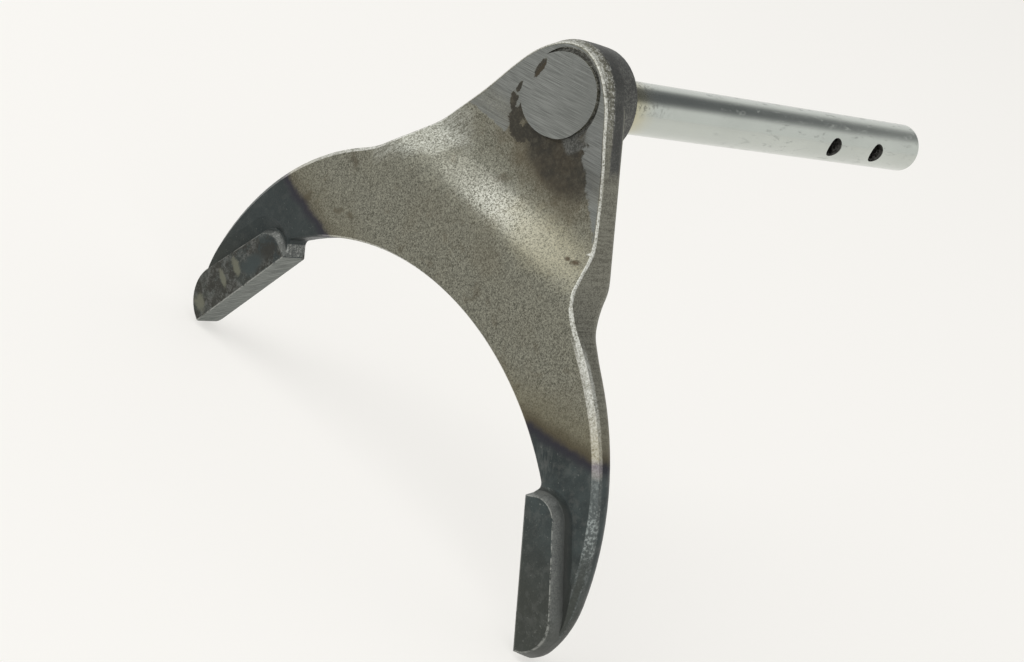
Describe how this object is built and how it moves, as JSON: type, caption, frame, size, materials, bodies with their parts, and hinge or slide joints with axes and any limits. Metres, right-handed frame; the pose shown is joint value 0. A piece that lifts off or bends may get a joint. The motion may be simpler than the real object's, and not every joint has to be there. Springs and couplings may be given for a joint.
{
  "type": "power take-off shift fork",
  "caption": "Forged steel yoke with a stepped neck and hardened pads on its arms, welded to a cross-drilled rod, that slides a power take-off's shift collar.",
  "frame": {"origin": "on the rod axis, in the plane of the boss's end, where the rod leaves the yoke", "axes": "+Y along the rod away from the yoke, +Z from the arms up to the hub, X across the two arms, which mirror each other"},
  "size_m": [0.1622, 0.1683, 0.1334],
  "materials": {
    "forged_steel": "blasted forging skin, arm ends blued by hardening",
    "rod_steel": "ground bright",
    "weld_steel": "coarse ground, with a dark low crescent"
  },
  "bodies": {
    "root": {"shift_fork": "forged_steel", "shift_rod": "rod_steel", "weld_ring": "weld_steel"}
  },
  "joints": []
}
